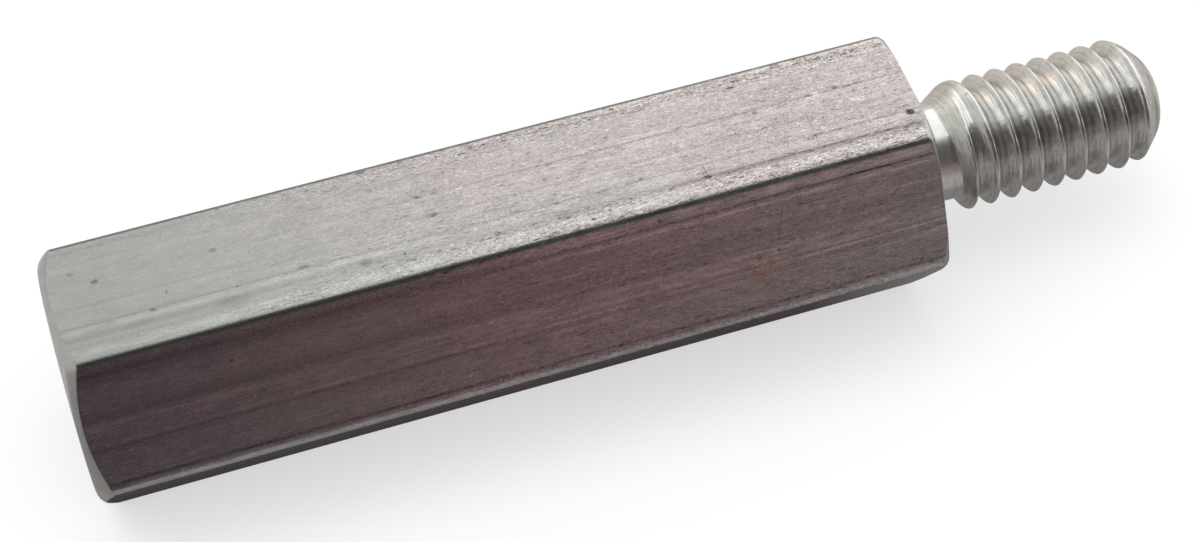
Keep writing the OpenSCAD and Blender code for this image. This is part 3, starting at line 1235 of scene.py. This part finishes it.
def seen_rays(tree):
    """1 where the camera, a mirror or glass looks at the background, 0 where it only lights something."""
    rays = tree.nodes.new("ShaderNodeLightPath").outputs
    seen = Number(tree, rays["Is Camera Ray"])
    for kind in ("Is Glossy Ray", "Is Transmission Ray"):
        seen = seen.at_least(Number(tree, rays[kind]))
    return seen


def stage_quad(name, corners, material):
    mesh = bpy.data.meshes.new(name)
    mesh.from_pydata(corners, [], [(0, 1, 2, 3)])
    mesh.materials.append(material)
    quad = bpy.data.objects.new(name, mesh)
    bpy.context.scene.collection.objects.link(quad)
    return quad


def make_floor():
    material = bpy.data.materials.new("pale_floor")
    material.use_nodes = True
    tree = material.node_tree
    inputs = tree.nodes["Principled BSDF"].inputs
    inputs["Base Color"].default_value = (FLOOR_GREY, FLOOR_GREY, FLOOR_GREY, 1)
    inputs["Roughness"].default_value = 1
    inputs["Specular IOR Level"].default_value = 0
    inputs["Emission Color"].default_value = (1, 1, 1, 1)
    feed(tree, inputs["Emission Strength"], seen_rays(tree) * FLOOR_GLOW)
    s = FLOOR_SIZE
    z = BAR_LOW.z
    stage_quad("floor", [(-s, -s, z), (s, -s, z), (s, s, z), (-s, s, z)], material)


def card_material(name, colours):
    """Glows with the colours, given as (place along X in mm, colour)."""
    material = bpy.data.materials.new(name)
    material.use_nodes = True
    tree = material.node_tree
    tree.nodes.clear()
    x, _, _ = split(tree, tree.nodes.new("ShaderNodeTexCoord").outputs["Object"])
    first, last = colours[0][0], colours[-1][0]
    colour = colour_ramp(tree, x / MM, first, last, colours)
    glow = add_node(tree, "ShaderNodeEmission", {"Color": colour, "Strength": 1})
    out = tree.nodes.new("ShaderNodeOutputMaterial")
    feed(tree, out.inputs["Surface"], glow.outputs[0])
    return material


def make_card(name, corners, colours):
    """A coloured card with its corners in mm. Only the metal mirrors it."""
    card = stage_quad(name, [Vector(corner) * MM for corner in corners], card_material(name, colours))
    card.visible_camera = False
    card.visible_diffuse = False
    card.visible_shadow = False
    card.visible_transmission = False
    card.visible_volume_scatter = False


def sheet(near, far, left=CARD_LEFT, right=CARD_RIGHT):
    """The corners of a card from its near edge to its far one, each given as (y, z)."""
    return [(left, *near), (right, *near), (right, *far), (left, *far)]


def plain(colour):
    """One colour all along a card."""
    return [(CARD_LEFT, colour), (CARD_RIGHT, colour)]


def make_cards():
    """Dark cards on the camera's side, warm ones behind, a pale one overhead."""
    foot, top = Vector((CARD_FRONT, CARD_LOW)), Vector((SKY_FRONT, CARD_HIGH))
    make_card("high_card", sheet(foot, foot.lerp(top, BROW_LOW)), HIGH_COLOURS)
    brows = (BROW_LOW, BROW_MIDDLE, BROW_HIGH, 1)
    for low, high, colour in zip(brows, brows[1:], BROW_COLOURS):
        make_card("brow_card", sheet(foot.lerp(top, low), foot.lerp(top, high)), plain(colour))

    front, back = (CARD_FRONT, CARD_FLOOR), (CARD_BACK, CARD_FLOOR)
    far_floor, floor_joint = (FAR_FLOOR, CARD_FLOOR), (FLOOR_JOINT, CARD_FLOOR)
    waist, middle, sky_back = (CARD_BACK, CARD_WAIST), (CARD_BACK, CARD_MIDDLE), (CARD_BACK, CARD_SKY)
    make_card("low_card", sheet(front, (CARD_FRONT, CARD_LOW)), LOW_COLOURS)
    make_card("far_floor_card", sheet(front, far_floor), FAR_FLOOR_COLOURS)
    make_card("floor_card", sheet(far_floor, floor_joint), FLOOR_COLOURS)
    make_card("back_floor_card", sheet(floor_joint, back), BACK_FLOOR_COLOURS)
    make_card("back_card", sheet(back, waist), BACK_COLOURS)
    make_card("waist_card", sheet(waist, middle), WAIST_COLOURS)
    make_card("upper_back_card", sheet(middle, sky_back), UPPER_BACK_COLOURS)
    make_card("sky_card", sheet((SKY_FRONT, CARD_SKY), sky_back), SKY_COLOURS)

    shade = sheet((SHADE_FRONT, SHADE_Z), (SHADE_BACK, SHADE_Z), left=0, right=TIP_X / MM)
    make_card("shade_card", shade, SHADE_COLOURS)
    left = [
        (CARD_LEFT, CARD_FRONT, CARD_FLOOR),
        (CARD_LEFT, CARD_FRONT, CARD_SKY),
        (CARD_LEFT, CARD_BACK, CARD_SKY),
        (CARD_LEFT, CARD_BACK, CARD_FLOOR),
    ]
    make_card("left_card", left, plain(LEFT_COLOUR))


def make_light():
    world = bpy.data.worlds.new("world")
    bpy.context.scene.world = world
    world.use_nodes = True
    tree = world.node_tree
    inputs = tree.nodes["Background"].inputs
    inputs["Color"].default_value = (1, 1, 1, 1)
    feed(tree, inputs["Strength"], seen_rays(tree) * (1 - AMBIENT) + AMBIENT)
    lamp = bpy.data.lights.new("soft_lamp", "AREA")
    lamp.size = LAMP_SIZE
    lamp.energy = LAMP_POWER
    holder = bpy.data.objects.new("soft_lamp", lamp)
    holder.location = LAMP_PLACE
    holder.rotation_euler = Vector(LAMP_PLACE).to_track_quat("Z", "Y").to_euler()
    holder.visible_glossy = False
    bpy.context.scene.collection.objects.link(holder)


make_standoff()
make_camera()
make_floor()
make_cards()
make_light()
bpy.context.scene.view_settings.view_transform = "Standard"
